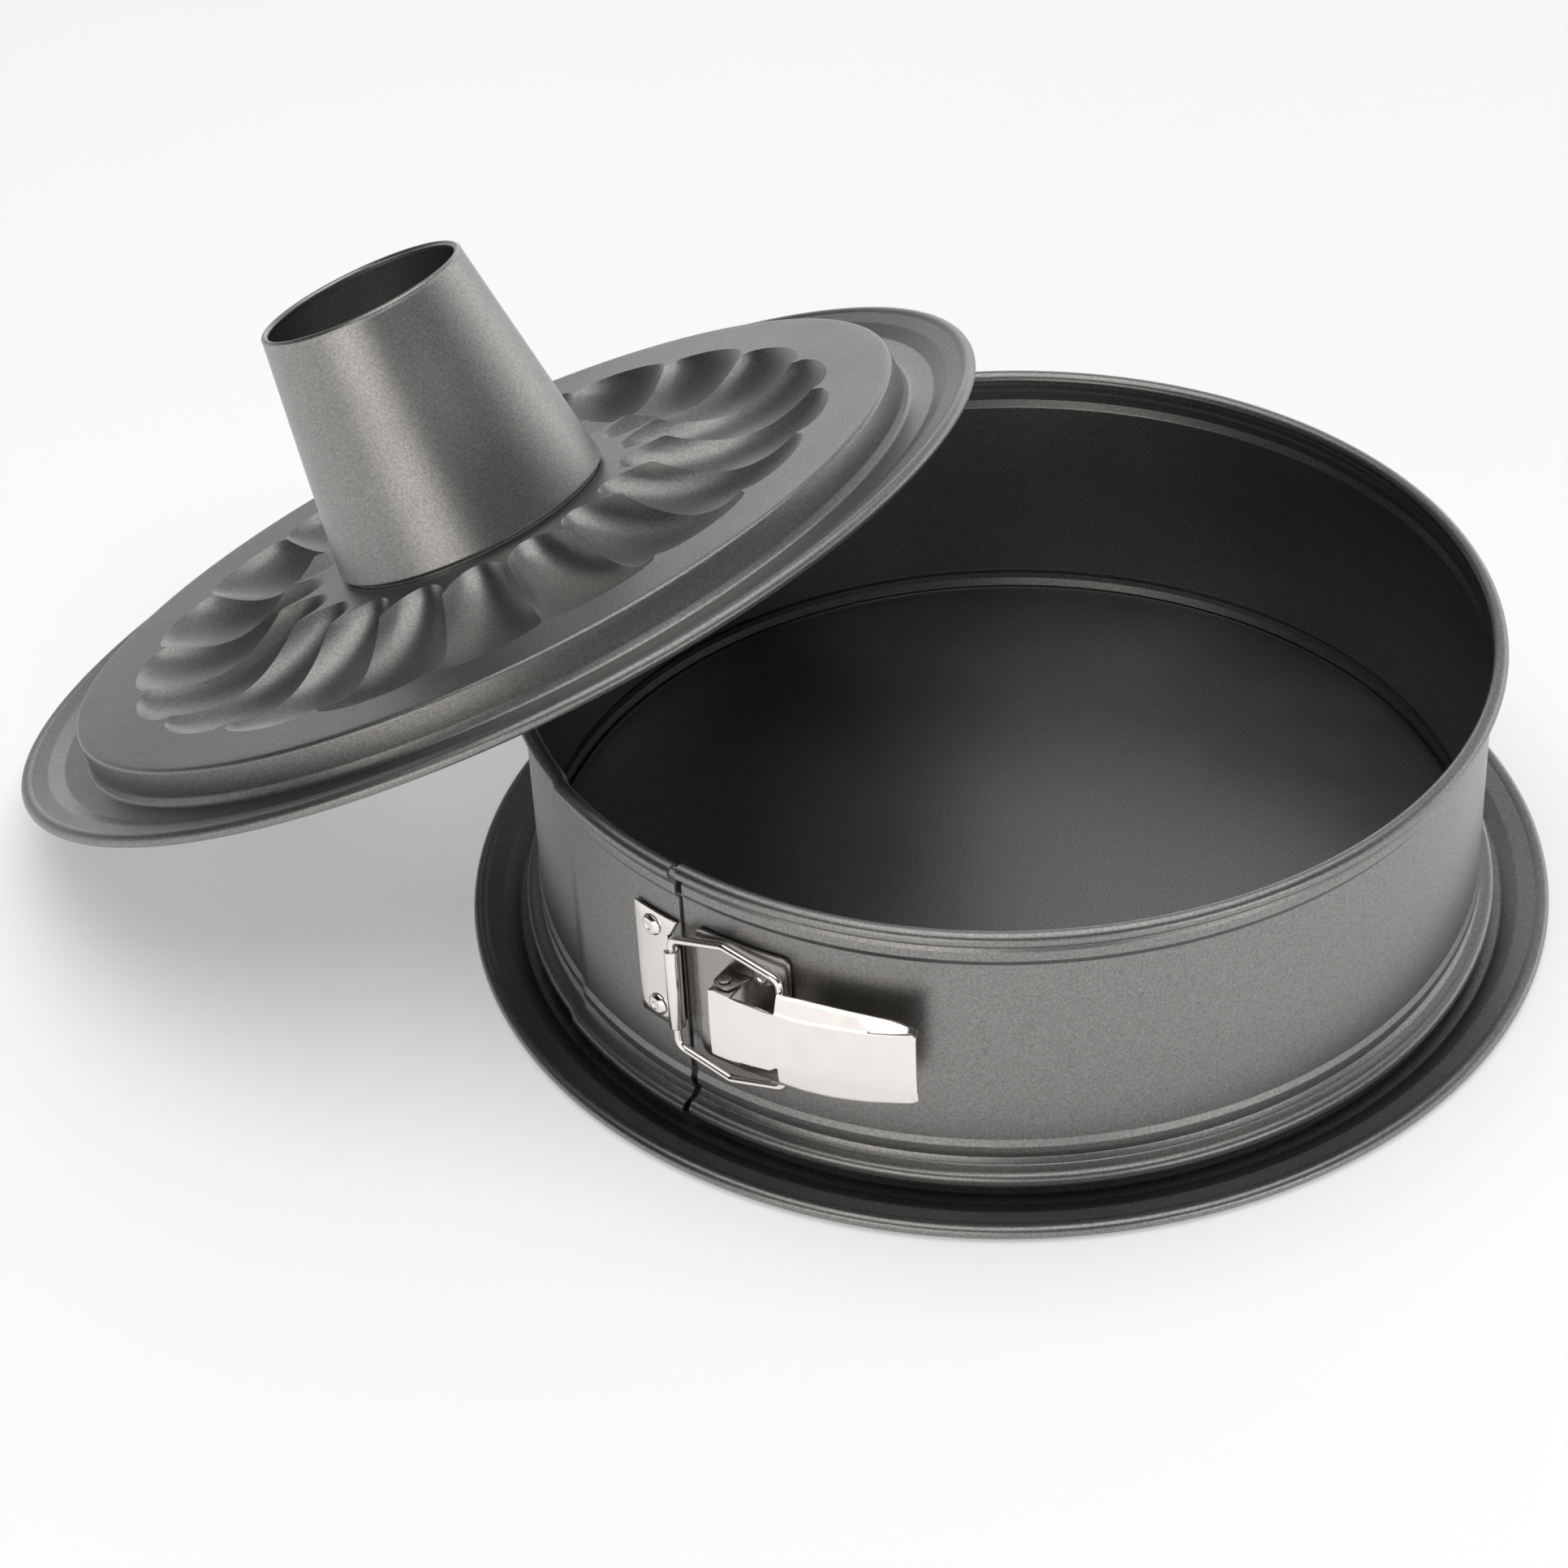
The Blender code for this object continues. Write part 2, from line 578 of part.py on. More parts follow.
def build():
    for obj in list(bpy.data.objects):
        bpy.data.objects.remove(obj)
    flat_base()
    ring_band_left()
    ring_band_right()
    strike_plate()
    lever_bracket()
    latch_lever()
    lever_pin()
    bail_wire()
    strike_face = WALL_OUTER + OVERLAP_LIFT + GAP + STRIKE_SHEET + GAP
    bracket_face = BRACKET_INNER + BRACKET_SHEET + GAP
    for place, sign in (("upper", 1), ("lower", -1)):
        height = STRIKE_HEIGHT + sign * STRIKE_RIVET_SPREAD
        rivet(f"strike_rivet_{place}", STRIKE_RIVET_AZIMUTH, height, strike_face,
              WALL_INNER + OVERLAP_LIFT + 0.1 * MM, False)
        height = LATCH_HEIGHT + sign * BRACKET_RIVET_SPREAD
        rivet(f"bracket_rivet_{place}", BRACKET_RIVET_AZIMUTH, height, bracket_face,
              WALL_INNER - GAP, True)
    lean([tube_base_plate(), tube_cone()])
    settle()


build()
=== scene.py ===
"""Finished look of a springform cake pan and of its second, fluted base with a tube.

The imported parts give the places, and each is replaced by a finely shaped piece in the same place.
Sizes are in millimetres, and polar() turns them into metres. Heights are counted from the table.
Azimuths are in degrees about the ring's axis, from +X towards +Y. The latch faces -Y and -X.
"""

import json
import math

import bpy
from mathutils import Matrix, Vector


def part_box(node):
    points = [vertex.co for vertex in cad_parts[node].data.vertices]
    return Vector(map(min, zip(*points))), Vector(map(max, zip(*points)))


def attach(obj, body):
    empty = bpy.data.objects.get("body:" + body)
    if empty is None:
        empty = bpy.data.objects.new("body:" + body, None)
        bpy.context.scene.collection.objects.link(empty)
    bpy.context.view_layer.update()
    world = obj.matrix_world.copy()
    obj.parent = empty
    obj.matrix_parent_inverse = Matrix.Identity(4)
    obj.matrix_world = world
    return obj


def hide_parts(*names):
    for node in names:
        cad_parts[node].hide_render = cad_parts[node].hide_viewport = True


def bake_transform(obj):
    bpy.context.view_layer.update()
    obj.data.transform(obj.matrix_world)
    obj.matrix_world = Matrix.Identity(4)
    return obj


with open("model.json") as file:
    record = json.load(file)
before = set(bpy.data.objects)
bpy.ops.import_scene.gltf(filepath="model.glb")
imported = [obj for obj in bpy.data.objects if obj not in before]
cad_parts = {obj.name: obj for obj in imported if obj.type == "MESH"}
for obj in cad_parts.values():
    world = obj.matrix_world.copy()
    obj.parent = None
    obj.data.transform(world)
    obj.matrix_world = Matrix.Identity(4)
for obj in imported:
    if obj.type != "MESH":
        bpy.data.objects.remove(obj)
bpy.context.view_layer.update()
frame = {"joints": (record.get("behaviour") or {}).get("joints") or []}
JOINTS = {joint["name"]: joint for joint in frame["joints"]}
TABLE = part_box("flat_base")[0].z

MM = 0.001
SHEET = 0.7

# Trays
FLOOR_HEIGHT = 11.25
FLOOR_RINGS = (0.0, 40.0, 90.0)
CURL_RADIUS = 150.0
CURL_HEIGHT = 2.1
CURL = 1.55
TRAY_STEPS = 192

# Ring
WALL = 131.55
TOP_ROLL = (133.3, 84.0)
FOOT_ROLL = (134.5, 6.2)
ROLL = 1.85
SPLIT_AZIMUTH = 231.62
BACK_AZIMUTH = 51.4
BACK_HALF_DEG = 60.0
SPLIT_HALF_DEG = 0.3
JOGGLE_START = 209.4
JOGGLE_DEG = 1.6
JOGGLE_LIFT = 1.0
TONGUE_START = 212.2
TONGUE_DEG = 19.8
TONGUE_LOW = 17.8
TONGUE_ROWS = 13
TONGUE_ROW = 4.75
TONGUE_SHEET = 0.6

# Latch
LATCH_HEIGHT = 47.0
STRIKE_SHEET = 0.8
STRIKE_WALL = 133.6
STRIKE_COLUMNS = [224.4, 225.6, 226.8, 228.2, 229.5]
STRIKE_LOW, STRIKE_MIDDLE, STRIKE_TOP = 30.4, 46.0, 66.8
STRIKE_CORNER = 228.5  # where the plate's lower corner is cut back to
TAB_LOW = 61.2
TAB_DEG = 1.0
TAB_FOOT, TAB_TIP = 229.8, 231.1
HOOK_LOW, HOOK_TOP = 33.4, 59.0
HOOK_BEND = 1.63
HOOK_TURN_DEG = 17
HOOK_TURNS = 14
HOOK_EASE = 5  # turns after which the hook has its own bend
STRIKE_RIVETS = (227.2, 48.6, 13.3)  # azimuth, middle height and distance from it
BRACKET_RIVETS = (242.5, 47.0, 13.9)
BRACKET_WALL = 132.7
BRACKET_SHEET = 1.0
BRACKET_START = 233.4
BRACKET_DEG = 12.4
BRACKET_COLUMNS = 8
BRACKET_HEIGHTS = [26.0, 33.0, 40.0, 47.0, 54.0, 61.0, 68.0]
BRACKET_CORNER = 2.6
WIRE = 1.15
WIRE_BEND = 3.4
WIRE_KNEE = (135.3, 238.0)  # radius and azimuth
WIRE_FOOT = (136.9, 245.3)
LEVER_FACE = 141.0  # middle of the lever's sheet
LEVER_SHEET = 1.0
EAR_SPREAD = 11.5
CREASE_STEP = 0.75
# Azimuth, then the lever's half heights over and under its middle
LEVER_ARMS = [(237.6, 9.8, 10.2), (238.4, 10.2, 10.4), (242.0, 9.9, 10.0), (245.36, 9.2, 9.2)]
# Azimuth, upper and lower crease, upper and lower outer edge, and how far the upper wing leans in
LEVER_WINGS = [
    (245.36, 9.4, 7.8, 14.3, 14.6, 1.6), (248.0, 8.9, 7.5, 14.5, 15.3, 1.8),
    (251.0, 9.3, 7.4, 14.4, 15.2, 1.8), (255.0, 9.7, 7.3, 14.1, 14.2, 1.6),
    (258.2, 10.4, 7.3, 13.7, 12.9, 1.4), (259.6, 10.8, 7.3, 13.0, 12.3, 1.2),
    (260.2, 11.0, 7.3, 12.2, 11.7, 1.0), (260.6, 10.4, 7.2, 11.3, 10.8, 0.9),
]

# Tube base
LOBES = 19
LOBE_STEPS = 16
LOBE_RINGS = 36
LOBE_START = 46.0
LOBE_LENGTH = 66.0
LOBE_PHASE_DEG = 6.3
LOBE_INNER, LOBE_OUTER = 60.0, 105.5  # ends of a ridge
LOBE_INNER_SWELL, LOBE_OUTER_SWELL = 13.0, 6.0  # how much further a flute reaches than a ridge
WEB_RISE = 4.5
RIDGE_SAG = 7.0
FLOOR_SAG = 9.4
LEAN_DEG = 25.05
LEAN_AZIMUTH = 151.1
LEAN_CENTRE = Vector((-147.4, 66.5, 63.7))


def polar(radius, azimuth, height=0.0):
    angle = math.radians(azimuth)
    spot = Vector((radius * math.cos(angle), radius * math.sin(angle), height)) * MM
    return spot + Vector((0.0, 0.0, TABLE))


def arc(centre, radius, start_deg, end_deg, steps):
    """Points (radius, height) along an arc."""
    turns = [math.radians(start_deg + (end_deg - start_deg) * k / steps) for k in range(steps + 1)]
    return [(centre[0] + radius * math.cos(t), centre[1] + radius * math.sin(t)) for t in turns]


def bent_line(corners, steps=5):
    """A path through corners (x, y, bend radius), with each inner corner rounded to its radius."""
    spots = [Vector(corner[:2]) for corner in corners]
    path = [tuple(spots[0])]
    for k in range(1, len(spots) - 1):
        spot = spots[k]
        back = (spots[k - 1] - spot).normalized()
        ahead = (spots[k + 1] - spot).normalized()
        half = back.angle(ahead) / 2
        reach = 0.48 * min((spots[k - 1] - spot).length, (spots[k + 1] - spot).length)
        cut = min(corners[k][2] / math.tan(half), reach)
        for i in range(steps + 1):
            t = i / steps
            point = spot + back * cut * (1 - t) ** 2 + ahead * cut * t ** 2
            path.append(tuple(point))
    path.append(tuple(spots[-1]))
    return path


# Modelling steps shared by the pieces


def edit_mode():
    bpy.ops.object.mode_set(mode="EDIT")


def object_mode():
    bpy.ops.object.mode_set(mode="OBJECT")


def clear_selection():
    for obj in bpy.context.selected_objects:
        obj.select_set(False)


def make_active(obj):
    clear_selection()
    obj.select_set(True)
    bpy.context.view_layer.objects.active = obj


def named(name):
    obj = bpy.context.object
    obj.name = name
    obj.data.name = name
    return obj


def draw_line(name, points):
    """Starts from one corner and extrudes it along the points. Leaves the piece in edit mode."""
    clear_selection()
    bpy.ops.mesh.primitive_plane_add(size=MM, location=(0, 0, 0))
    obj = named(name)
    edit_mode()
    bpy.ops.mesh.select_mode(type="VERT")
    bpy.ops.mesh.select_all(action="SELECT")
    bpy.ops.mesh.merge(type="CENTER")
    bpy.ops.transform.translate(value=points[0])
    for before, after in zip(points, points[1:]):
        bpy.ops.mesh.extrude_vertices_move(TRANSFORM_OT_translate={"value": after - before})
    return obj


def select_by(obj, kind, wanted):
    """Selects vertices, edges or faces whose middle passes a test. Works in edit mode."""
    object_mode()
    mesh = obj.data
    for items in (mesh.vertices, mesh.edges, mesh.polygons):
        items.foreach_set("select", [False] * len(items))
    if kind == "VERT":
        for vertex in mesh.vertices:
            vertex.select = wanted(vertex.co)
    elif kind == "EDGE":
        for edge in mesh.edges:
            ends = [mesh.vertices[i].co for i in edge.vertices]
            edge.select = all(wanted(end) for end in ends)
    else:
        for face in mesh.polygons:
            face.select = wanted(face.center)
    edit_mode()
    bpy.ops.mesh.select_mode(type=kind)


def weld():
    bpy.ops.mesh.select_all(action="SELECT")
    bpy.ops.mesh.remove_doubles(threshold=0.002 * MM)


def face_outwards():
    bpy.ops.mesh.select_all(action="SELECT")
    bpy.ops.mesh.normals_make_consistent(inside=False)


def thicken(obj, thickness):
    """Gives a sheet its wall, half to each side."""
    object_mode()
    make_active(obj)
    wall = obj.modifiers.new("wall", "SOLIDIFY")
    wall.thickness = thickness * MM
    wall.offset = 0.0
    wall.use_even_offset = True
    bpy.ops.object.modifier_apply(modifier=wall.name)


def round_edges(obj, width, segments=2, angle_deg=40):
    object_mode()
    make_active(obj)
    edge = obj.modifiers.new("edge", "BEVEL")
    edge.width = width * MM
    edge.segments = segments
    edge.limit_method = "ANGLE"
    edge.angle_limit = math.radians(angle_deg)
    edge.harden_normals = False
    bpy.ops.object.modifier_apply(modifier=edge.name)


def complete(obj, finish, body, *nodes, smooth_deg=35):
    """Smooths a piece, and says what it is made of and stands for."""
    object_mode()
    make_active(obj)
    bpy.ops.object.shade_smooth_by_angle(angle=math.radians(smooth_deg))
    obj.data.materials.clear()
    obj.data.materials.append(finish)
    if nodes:
        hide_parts(*nodes)
    if body:
        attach(obj, body)
    return obj


def turn_round(name, profile, azimuth=0.0, sweep_deg=360.0, steps=TRAY_STEPS, thickness=SHEET):
    """A sheet spun about the ring's axis from a profile of (radius, height) points."""
    obj = draw_line(name, [polar(r, azimuth, z) for r, z in profile])
    bpy.ops.mesh.select_all(action="SELECT")
    bpy.ops.mesh.spin(
        steps=steps, angle=math.radians(sweep_deg), center=(0, 0, 0), axis=(0, 0, -1)
    )
    weld()
    face_outwards()
    if thickness:
        thicken(obj, thickness)
    return obj


def shift_points(obj, moved):
    """Moves each point of a piece to moved(point)."""
    object_mode()
    for vertex in obj.data.vertices:
        vertex.co = moved(vertex.co)
    obj.data.update()


# Finishes


def coated_steel(name, grey=0.27, roughness=0.33):
    """Dark non-stick coating: a fine grain in its surface and soft patches in its sheen."""
    mat = bpy.data.materials.new(name)
    mat.use_nodes = True
    nodes, links = mat.node_tree.nodes, mat.node_tree.links
    shader = nodes["Principled BSDF"]
    shader.inputs["Metallic"].default_value = 1.0
    shader.inputs["Specular IOR Level"].default_value = 0.5
    place = nodes.new("ShaderNodeTexCoord")

    grain = nodes.new("ShaderNodeTexNoise")
    grain.inputs["Scale"].default_value = 1500.0
    grain.inputs["Detail"].default_value = 3.0
    links.new(place.outputs["Object"], grain.inputs["Vector"])
    patches = nodes.new("ShaderNodeTexNoise")
    patches.inputs["Scale"].default_value = 22.0
    patches.inputs["Detail"].default_value = 5.0
    links.new(place.outputs["Object"], patches.inputs["Vector"])

    colour = nodes.new("ShaderNodeValToRGB")
    colour.color_ramp.elements[0].position = 0.3
    colour.color_ramp.elements[0].color = (grey * 0.78, grey * 0.76, grey * 0.735, 1.0)
    colour.color_ramp.elements[1].position = 0.7
    colour.color_ramp.elements[1].color = (grey * 1.22, grey * 1.19, grey * 1.15, 1.0)
    links.new(grain.outputs["Fac"], colour.inputs["Fac"])
    links.new(colour.outputs["Color"], shader.inputs["Base Color"])

    sheen = nodes.new("ShaderNodeMapRange")
    sheen.inputs["From Min"].default_value = 0.3
    sheen.inputs["From Max"].default_value = 0.7
    sheen.inputs["To Min"].default_value = roughness
    sheen.inputs["To Max"].default_value = roughness + 0.06
    links.new(patches.outputs["Fac"], sheen.inputs["Value"])
    links.new(sheen.outputs["Result"], shader.inputs["Roughness"])

    bump = nodes.new("ShaderNodeBump")
    bump.inputs["Strength"].default_value = 0.3
    bump.inputs["Distance"].default_value = 0.05 * MM
    links.new(grain.outputs["Fac"], bump.inputs["Height"])
    links.new(bump.outputs["Normal"], shader.inputs["Normal"])
    return mat


def nickel(name, roughness=0.16, shade_tone=1.0):
    """Bright nickel plating with faint drawing lines and slightly uneven polish. A tone under 1 darkens all
    its colour, which paints shade.
    """
    mat = bpy.data.materials.new(name)
    mat.use_nodes = True
    nodes, links = mat.node_tree.nodes, mat.node_tree.links
    shader = nodes["Principled BSDF"]
    shader.inputs["Metallic"].default_value = 1.0
    place = nodes.new("ShaderNodeTexCoord")

    stretch = nodes.new("ShaderNodeMapping")
    stretch.inputs["Scale"].default_value = (60.0, 60.0, 1400.0)
    links.new(place.outputs["Object"], stretch.inputs["Vector"])
    lines = nodes.new("ShaderNodeTexNoise")
    lines.inputs["Scale"].default_value = 1.0
    lines.inputs["Detail"].default_value = 3.0
    links.new(stretch.outputs["Vector"], lines.inputs["Vector"])
    clouds = nodes.new("ShaderNodeTexNoise")
    clouds.inputs["Scale"].default_value = 180.0
    clouds.inputs["Detail"].default_value = 4.0
    links.new(place.outputs["Object"], clouds.inputs["Vector"])

    colour = nodes.new("ShaderNodeValToRGB")
    colour.color_ramp.elements[0].position = 0.35
    colour.color_ramp.elements[0].color = (0.88 * shade_tone, 0.84 * shade_tone, 0.8 * shade_tone, 1.0)
    colour.color_ramp.elements[1].position = 0.65
    colour.color_ramp.elements[1].color = (0.92 * shade_tone, 0.88 * shade_tone, 0.845 * shade_tone, 1.0)
    links.new(clouds.outputs["Fac"], colour.inputs["Fac"])
    links.new(colour.outputs["Color"], shader.inputs["Base Color"])

    polish = nodes.new("ShaderNodeMapRange")
    polish.inputs["From Min"].default_value = 0.35
    polish.inputs["From Max"].default_value = 0.65
    polish.inputs["To Min"].default_value = roughness * 0.92
    polish.inputs["To Max"].default_value = roughness * 1.12
    links.new(clouds.outputs["Fac"], polish.inputs["Value"])
    links.new(polish.outputs["Result"], shader.inputs["Roughness"])

    bump = nodes.new("ShaderNodeBump")
    bump.inputs["Strength"].default_value = 0.05
    bump.inputs["Distance"].default_value = 0.05 * MM
    links.new(lines.outputs["Fac"], bump.inputs["Height"])
    links.new(bump.outputs["Normal"], shader.inputs["Normal"])
    return mat


# Trays


def tray_edge():
    """Middle of the sheet from the floor's edge, down the step, through the gutter and into the curl."""
    line = bent_line([
        (126.0, FLOOR_HEIGHT, 0.0), (129.55, FLOOR_HEIGHT, 1.0), (129.85, 3.0, 3.0),
        (130.9, 0.35, 1.6), (138.8, 0.35, 2.6), (143.4, 2.25, 3.5), (148.2, 3.1, 1.2), (149.2, 3.55, 0.0),
    ])
    return line + arc((CURL_RADIUS, CURL_HEIGHT), CURL, 95, -190, 16)


def flat_base():
    profile = [(radius, FLOOR_HEIGHT) for radius in FLOOR_RINGS] + tray_edge()
    obj = turn_round("finished_flat_base", profile)
    return complete(obj, coated_steel("coating_flat_base"), "flat_base", "flat_base")


def lobe_edge(across):
    """Inner and outer radius of the flutes at one place between two ridges (0 and 1)."""
    swell = math.sqrt(max(0.0, 1.0 - (2.0 * across - 1.0) ** 2))
    return LOBE_INNER - LOBE_INNER_SWELL * swell, LOBE_OUTER + LOBE_OUTER_SWELL * swell


def lobe_height(t, across):
    """Height over the floor of a place in the flutes: t runs outwards, across from ridge to ridge."""
    ramp = WEB_RISE * (1.0 - t) ** 1.2
    ridge = RIDGE_SAG * math.sin(math.pi * t) ** 0.9
    floor = FLOOR_SAG * math.sin(math.pi * t) ** 0.62
    scoop = (1.0 - abs(2.0 * across - 1.0) ** 2.4)
    return ramp - ridge - (floor - ridge) * scoop - 1.1 * scoop * math.sin(math.pi * t) ** 0.5


def fluted_place(point):
    """Moves a point of the plain disc to its place in the flutes."""
    radius = point.xy.length / MM
    if not LOBE_START - 0.3 < radius < LOBE_START + LOBE_LENGTH + 0.5:
        return point
    turn = math.degrees(math.atan2(point.y, point.x)) - LOBE_PHASE_DEG
    across = (turn * LOBES / 360.0) % 1.0
    t = min(1.0, max(0.0, (radius - LOBE_START) / LOBE_LENGTH))
    inner, outer = lobe_edge(across)
    spread = (inner + (outer - inner) * t) / radius
    lift = lobe_height(t, across) - WEB_RISE * (1.0 - t)
    return Vector((point.x * spread, point.y * spread, point.z + lift * MM))


def tube_base_plate():
    """The second base: a raised web round the tube, nineteen flutes, and the same tray edge."""
    web = FLOOR_HEIGHT + WEB_RISE
    rings = []
    for k in range(LOBE_RINGS + 1):
        share = k / LOBE_RINGS
        rings.append((LOBE_START + LOBE_LENGTH * share, FLOOR_HEIGHT + WEB_RISE * (1 - share)))
    profile = [(40.9, web), (43.0, web), (45.0, web)] + rings + [(114.5, FLOOR_HEIGHT)] + tray_edge()
    steps = LOBES * LOBE_STEPS
    obj = turn_round("finished_tube_base", profile, LOBE_PHASE_DEG, steps=steps, thickness=None)
    shift_points(obj, fluted_place)
    thicken(obj, SHEET)
    lean(obj)
    finish = coated_steel("coating_tube_base", 0.27, 0.39)
    return complete(obj, finish, "tube_base", "tube_base_plate", smooth_deg=42)


def tube_cone():
    """The tapered tube, with a beaded mouth and a foot that is folded through the base."""
    mouth = arc((30.25, 89.0), 0.75, -120, -360 - 20, 12)
    side = bent_line([(31.05, 88.0, 0.0), (41.35, 18.9, 0.0)])
    foot = bent_line([
        (41.35, 18.9, 0.0), (41.6, 17.8, 0.5), (40.2, 17.2, 0.4), (40.15, 15.0, 0.4), (44.4, 14.85, 0.0),
    ])
    profile = mouth + side + foot[1:]
    obj = turn_round("finished_tube", profile, steps=128, thickness=0.55)
    lean(obj)
    # The tube's coating is a lighter copy of the base plate's (grey 0.33 against 0.27): painted light for
    # the brighter light on the tube.
    return complete(obj, coated_steel("coating_tube_painted_light", 0.33, 0.36), "tube_base", "tube_cone")


def lean(obj):
    """Tilts a piece of the tube base from its own upright place to where it leans on the ring."""
    angle = math.radians(LEAN_AZIMUTH + 90)
    axis = Vector((math.cos(angle), math.sin(angle), 0.0))
    tilt = Matrix.Rotation(math.radians(LEAN_DEG), 4, axis)
    down = Matrix.Translation((0, 0, -TABLE))
    up = Matrix.Translation(LEAN_CENTRE * MM + Vector((0, 0, TABLE)))
    obj.data.transform(up @ tilt @ down)


# Ring


def ring_profile():
    """Middle of the ring's sheet: foot roll, grip groove, wall, rib and top roll."""
    foot = arc(FOOT_ROLL, ROLL, -230, 90, 16)
    neck = bent_line([
        (134.3, 8.05, 0.0), (132.3, 8.6, 1.2), (130.95, 10.6, 0.9), (132.25, 13.0, 0.8),
        (132.25, 15.0, 0.8), (WALL, 16.9, 0.9), (WALL, 74.8, 1.0), (132.75, 76.9, 0.5),
        (132.75, 79.3, 0.8), (131.7, 81.2, 0.8), (131.75, 82.8, 0.0),
    ], steps=4)
    top = arc(TOP_ROLL, ROLL, 205, -60, 16)
    return foot + neck + top


def joggled(point):
    """Lifts the strike's end of the ring so that it lies over the other end's tongue."""
    azimuth = math.degrees(math.atan2(point.y, point.x)) % 360
    share = min(1.0, max(0.0, (azimuth - JOGGLE_START) / JOGGLE_DEG))
    share = share * share * (3 - 2 * share)
    stretch = 1 + share * JOGGLE_LIFT * MM / point.xy.length
    return Vector((point.x * stretch, point.y * stretch, point.z))


def ring_left(finish):
    start = BACK_AZIMUTH + BACK_HALF_DEG
    sweep = SPLIT_AZIMUTH - SPLIT_HALF_DEG - start
    obj = turn_round("finished_ring_left", ring_profile(), start, sweep, steps=100)
    shift_points(obj, joggled)
    return complete(obj, finish, "ring_left", "ring_band_left")


def ring_right(finish):
    start = SPLIT_AZIMUTH + SPLIT_HALF_DEG
    sweep = BACK_AZIMUTH - BACK_HALF_DEG + 360 - start
    obj = turn_round("finished_ring_right", ring_profile(), start, sweep, steps=80)
    return complete(obj, finish, "ring_right", "ring_band_right")


def ring_back(finish):
    """The back of the ring, where the real band bends when the latch is opened. Here it is one fixed piece
    on no body.
    """
    start = BACK_AZIMUTH - BACK_HALF_DEG
    obj = turn_round("finished_ring_back", ring_profile(), start, 2 * BACK_HALF_DEG, steps=80)
    complete(obj, finish, None)
    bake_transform(obj)
    return obj


def ring_tongue(finish):
    """The plain end of the strip that runs on behind the joggled end."""
    profile = [(WALL, TONGUE_LOW + TONGUE_ROW * k) for k in range(TONGUE_ROWS)]
    obj = turn_round(
        "finished_ring_tongue", profile, TONGUE_START, TONGUE_DEG, steps=16, thickness=TONGUE_SHEET
    )
    round_edges(obj, 0.15)
    return complete(obj, finish, "ring_right")


# Latch


def sheet_between(name, plan, heights):
    """A standing sheet: a path seen from above (radius, azimuth), drawn up through the heights."""
    obj = draw_line(name, [polar(radius, azimuth, heights[0]) for radius, azimuth in plan])
    bpy.ops.mesh.select_all(action="SELECT")
    for low, high in zip(heights, heights[1:]):
        rise = Vector((0.0, 0.0, (high - low) * MM))
        bpy.ops.mesh.extrude_edges_move(TRANSFORM_OT_translate={"value": rise})
    return obj


def near(point, radius, azimuth, low, high, slack=0.12):
    """True for a point on an upright line at a radius and azimuth, between two heights."""
    flat = polar(radius, azimuth)
    height = (point.z - TABLE) / MM
    across = (point.xy - flat.xy).length / MM
    return across < slack and low - slack < height < high + slack


def slide_corner(obj, azimuth, height, new_azimuth):
    """Slides one corner of the strike plate round the ring."""
    select_by(obj, "VERT", lambda p: near(p, STRIKE_WALL, azimuth, height, height))
    bpy.ops.transform.translate(value=polar(STRIKE_WALL, new_azimuth) - polar(STRIKE_WALL, azimuth))


def strike_plate(finish):
    """A riveted plate with a slanted tab at its top and a J-shaped hook for the wire."""
    rows = [STRIKE_LOW, HOOK_LOW, STRIKE_MIDDLE, HOOK_TOP, TAB_LOW, STRIKE_TOP]
    plan = [(STRIKE_WALL, azimuth) for azimuth in STRIKE_COLUMNS]
    obj = sheet_between("finished_strike_plate", plan, rows)
    last = STRIKE_COLUMNS[-1]
    slide_corner(obj, last, STRIKE_LOW, STRIKE_CORNER)

    select_by(obj, "EDGE", lambda p: near(p, STRIKE_WALL, last, TAB_LOW, STRIKE_TOP))
    tab = polar(STRIKE_WALL, last + TAB_DEG) - polar(STRIKE_WALL, last)
    bpy.ops.mesh.extrude_edges_move(TRANSFORM_OT_translate={"value": tab})
    slide_corner(obj, last + TAB_DEG, STRIKE_TOP, TAB_TIP)
    slide_corner(obj, last + TAB_DEG, TAB_LOW, TAB_FOOT)

    select_by(obj, "EDGE", lambda p: near(p, STRIKE_WALL, last, HOOK_LOW, HOOK_TOP))
    here = polar(STRIKE_WALL, last)
    for there in hook_route()[1:]:
        bpy.ops.mesh.extrude_edges_move(TRANSFORM_OT_translate={"value": there - here})
        here = there
    thicken(obj, STRIKE_SHEET)
    round_edges(obj, 0.22)
    return complete(obj, finish, "ring_left", "strike_plate", smooth_deg=50)


def hook_route():
    """Where the hook runs from the plate, round the wire and back over it, seen from above."""
    bar = bail_bar()
    away = (bar - polar(0.0, 0.0)).normalized()
    away.z = 0.0
    route = [polar(STRIKE_WALL, a) for a in (229.5, 230.1, 230.6)]
    for k in range(1, HOOK_TURNS + 1):
        turn = Matrix.Rotation(math.radians(-HOOK_TURN_DEG * k), 3, "Z")
        ease = max(0.0, 1.0 - k / HOOK_EASE)
        reach = HOOK_BEND + ease * (bar.xy.length / MM - STRIKE_WALL - HOOK_BEND)
        spot = bar - (turn @ away) * reach * MM
        route.append(Vector((spot.x, spot.y, TABLE)))
    return route


def bail_bar():
    """The wire's own axis in the hook, which is the bail's joint."""
    spot = Vector(JOINTS["bail_swing"]["pos_m"])
    return Vector((spot.x, spot.y, TABLE))


